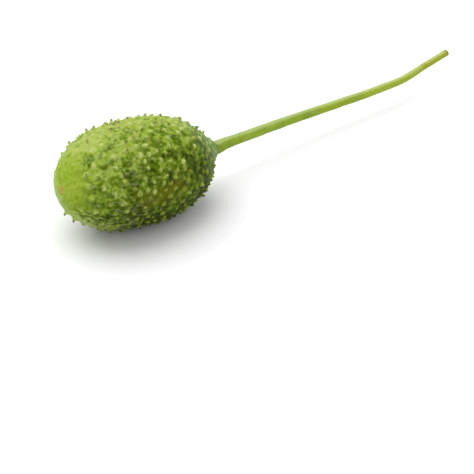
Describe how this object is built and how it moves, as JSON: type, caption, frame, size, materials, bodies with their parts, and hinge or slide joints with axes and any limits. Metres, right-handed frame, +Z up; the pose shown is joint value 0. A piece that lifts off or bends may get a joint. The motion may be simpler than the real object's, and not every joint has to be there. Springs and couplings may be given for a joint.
{
  "type": "spiny gourd",
  "caption": "Egg-shaped green fruit covered in short spines, lying on its side on a small flat spot, with a long thin stem.",
  "frame": {"origin": "centre of the small flat spot that the fruit rests on", "axes": "+X along the fruit from its blossom end towards its stem, +Z up"},
  "size_m": [0.1495, 0.0321, 0.0318],
  "materials": {
    "fruit_skin": "living plant skin: satin, thin and waxy, mottled deep green with pale yellow-green spines and a yellower blossom end",
    "stem_skin": "fresh green plant stem: satin, finely ridged along its length, olive at the cut tip"
  },
  "bodies": {
    "root": {"fruit": "fruit_skin", "stem": "stem_skin"}
  },
  "joints": []
}
